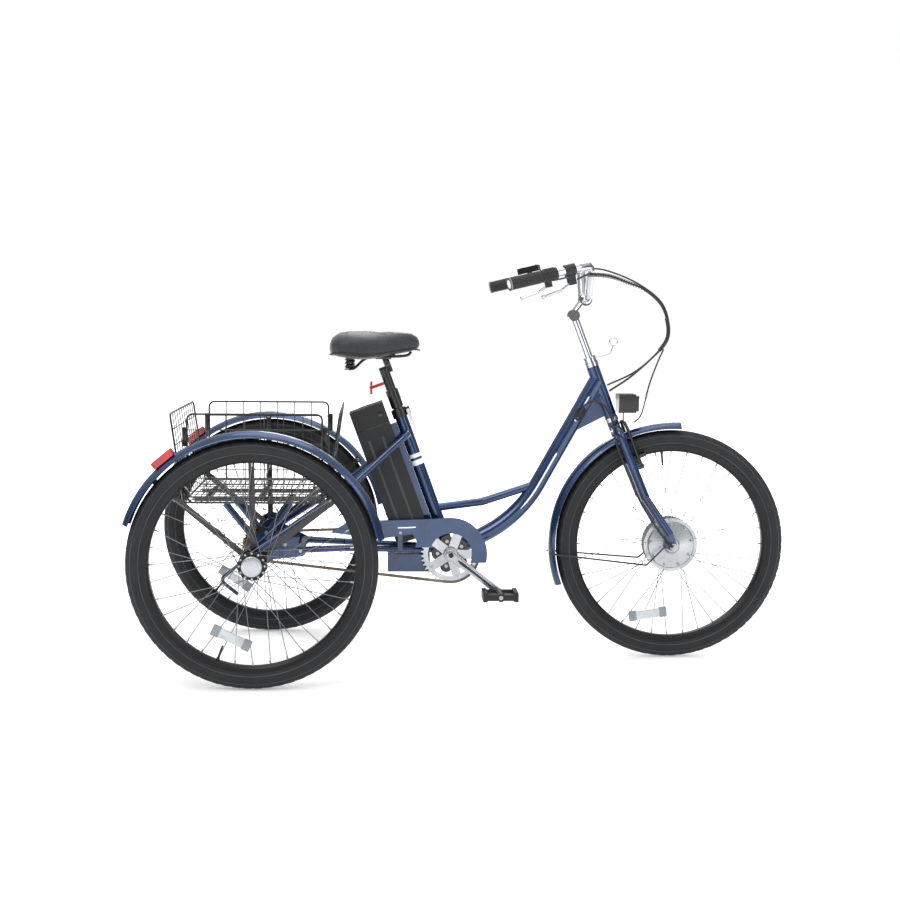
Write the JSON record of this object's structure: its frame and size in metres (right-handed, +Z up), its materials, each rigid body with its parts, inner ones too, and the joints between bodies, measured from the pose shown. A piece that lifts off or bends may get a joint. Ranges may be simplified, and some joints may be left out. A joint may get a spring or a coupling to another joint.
{
  "type": "adult tricycle",
  "caption": "Step-through adult tricycle with a front hub motor, two wheels behind, a rear basket, a battery behind the seat tube, steering, pedals and brakes that move.",
  "frame": {"origin": "on the ground, below the middle of the wheelbase, in the middle plane", "axes": "+X forward, +Y to the rider's left, +Z up"},
  "size_m": [1.8299, 0.77, 1.1328],
  "materials": {
    "alloy": "polished",
    "black_paint": "satin",
    "black_plastic": "matte",
    "blue_paint": "gloss metallic",
    "chain_steel": "oily",
    "chrome": "polished",
    "cog_steel": "satin",
    "gloss_plastic": "gloss",
    "red_lens": "gloss",
    "rubber": "matte",
    "saddle_cover": "matte",
    "steel": "satin",
    "tyre": "matte"
  },
  "bodies": {
    "frame": {"front_frame": "blue_paint", "rear_frame": "blue_paint", "basket_rack": "black_paint", "basket": "black_paint", "rear_fender_right": "blue_paint", "rear_fender_left": "blue_paint", "fender_stays": "black_paint", "axle_bearings": "chrome", "headset_cups": "chrome", "seat_clamp": "black_paint", "battery_rail": "blue_paint", "controller_box": "blue_paint", "chain_guard": "blue_paint", "chain": "chain_steel", "rear_reflectors": "red_lens"},
    "steering": {"fork": "blue_paint", "stem": "chrome", "handlebar": "chrome", "grip_left": "rubber", "grip_right": "rubber", "brake_bracket_left": "black_plastic", "brake_bracket_right": "black_plastic", "display_unit": "gloss_plastic", "headlight": "gloss_plastic", "front_fender": "blue_paint", "front_fender_stays": "black_paint", "motor_axle": "steel", "control_cables": "rubber", "motor_lead": "rubber", "cable_guide": "chrome"},
    "throttle": {"twist_throttle": "rubber"},
    "lever_right": {"brake_lever_right": "chrome"},
    "lever_left": {"brake_lever_left": "chrome"},
    "arm_right": {"brake_arm_right": "black_paint"},
    "arm_left": {"brake_arm_left": "black_paint"},
    "button": {"power_button": "gloss_plastic"},
    "front_wheel": {"front_tyre": "tyre", "front_rim": "black_paint", "front_spokes": "chrome", "motor_shell": "alloy"},
    "wheel_right": {"rear_tyre_right": "tyre", "rear_rim_right": "black_paint", "rear_spokes_right": "chrome", "rear_hub_right": "black_paint", "axle_shaft": "chrome"},
    "wheel_left": {"rear_tyre_left": "tyre", "rear_rim_left": "black_paint", "rear_spokes_left": "chrome", "rear_hub_left": "black_paint"},
    "crankset": {"chainring_crank": "alloy", "crank_left": "alloy"},
    "pedal_right": {"pedal_right": "black_plastic"},
    "pedal_left": {"pedal_left": "black_plastic"},
    "freewheel": {"freewheel": "cog_steel"},
    "seat_post": {"seat_post": "black_paint", "post_reflector": "red_lens"},
    "saddle": {"saddle_clamp": "black_paint", "saddle": "saddle_cover"},
    "seat_lever": {"seat_lever": "chrome"},
    "battery": {"battery": "black_plastic"}
  },
  "joints": [
    {"name": "steering_turn", "type": "hinge", "parent": "frame", "child": "steering", "pos_m": [0.4065, 0, 0.695], "axis": [-0.3616, 0, 0.9323], "range_deg": [-42, 42], "deforming": ["control_cables", "motor_lead"]},
    {"name": "front_wheel_spin", "type": "hinge", "parent": "steering", "child": "front_wheel", "pos_m": [0.5835, 0, 0.33], "axis": [0, 1, 0], "continuous": true},
    {"name": "rear_right_spin", "type": "hinge", "parent": "frame", "child": "wheel_right", "pos_m": [-0.5835, 0, 0.33], "axis": [0, 1, 0], "continuous": true},
    {"name": "rear_left_spin", "type": "hinge", "parent": "frame", "child": "wheel_left", "pos_m": [-0.5835, 0, 0.33], "axis": [0, 1, 0], "continuous": true},
    {"name": "crank_spin", "type": "hinge", "parent": "frame", "child": "crankset", "pos_m": [-0.0505, 0, 0.308], "axis": [0, 1, 0], "continuous": true},
    {"name": "freewheel_spin", "type": "hinge", "parent": "frame", "child": "freewheel", "pos_m": [-0.5835, 0, 0.33], "axis": [0, 1, 0], "continuous": true},
    {"name": "pedal_right_spin", "type": "hinge", "parent": "crankset", "child": "pedal_right", "pos_m": [0.08437, 0, 0.20451], "axis": [0, 1, 0], "continuous": true},
    {"name": "pedal_left_spin", "type": "hinge", "parent": "crankset", "child": "pedal_left", "pos_m": [-0.18537, 0, 0.41149], "axis": [0, 1, 0], "continuous": true},
    {"name": "brake_lever_right_pull", "type": "hinge", "parent": "steering", "child": "lever_right", "pos_m": [0.25305, -0.26062, 1.07432], "axis": [-0.2771, 0.9608, 0], "range_deg": [0, 18], "stiffness_Nm_per_rad": 3, "springref_deg": -8.59},
    {"name": "brake_lever_left_pull", "type": "hinge", "parent": "steering", "child": "lever_left", "pos_m": [0.25305, 0.26062, 1.07432], "axis": [0.2771, 0.9608, 0], "range_deg": [0, 18], "stiffness_Nm_per_rad": 3, "springref_deg": -8.59},
    {"name": "brake_arm_right_close", "type": "hinge", "parent": "steering", "child": "arm_right", "pos_m": [0.4675, -0.042, 0.5512], "axis": [-0.9323, 0, -0.3616], "range_deg": [0, 2.6], "stiffness_Nm_per_rad": 1, "springref_deg": -5.73},
    {"name": "brake_arm_left_close", "type": "hinge", "parent": "steering", "child": "arm_left", "pos_m": [0.4675, 0.042, 0.5512], "axis": [0.9323, 0, 0.3616], "range_deg": [0, 2.6], "stiffness_Nm_per_rad": 1, "springref_deg": -5.73},
    {"name": "throttle_twist", "type": "hinge", "parent": "steering", "child": "throttle", "pos_m": [0.0818, -0.31, 1.0637], "axis": [0.9359, 0.2699, 0.2264], "range_deg": [0, 70], "stiffness_Nm_per_rad": 0.3, "springref_deg": -17.19},
    {"name": "power_button_press", "type": "slide", "parent": "steering", "child": "button", "axis": [0.2175, -0.0627, -0.974], "range_m": [0, 0.0015], "stiffness_N_per_m": 400, "springref_m": -0.0008},
    {"name": "seat_height", "type": "slide", "parent": "frame", "child": "seat_post", "axis": [-0.3453, 0, 0.9385], "range_m": [0, 0.08]},
    {"name": "saddle_flip", "type": "hinge", "parent": "seat_post", "child": "saddle", "pos_m": [-0.2328, 0, 0.84402], "axis": [0, 1, 0], "range_deg": [0, 50]},
    {"name": "seat_lever_open", "type": "hinge", "parent": "frame", "child": "seat_lever", "pos_m": [-0.17228, 0, 0.71285], "axis": [0, 1, 0], "range_deg": [-110, 0]},
    {"name": "battery_slide", "type": "slide", "parent": "frame", "child": "battery", "axis": [-0.3453, 0, 0.9385], "range_m": [0, 0.025]}
  ],
  "couplings": [
    {"joint": "freewheel_spin", "follows": "crank_spin", "ratio": 2},
    {"joint": "brake_arm_right_close", "follows": "brake_lever_right_pull", "ratio": 0.139},
    {"joint": "brake_arm_left_close", "follows": "brake_lever_right_pull", "ratio": 0.139}
  ]
}
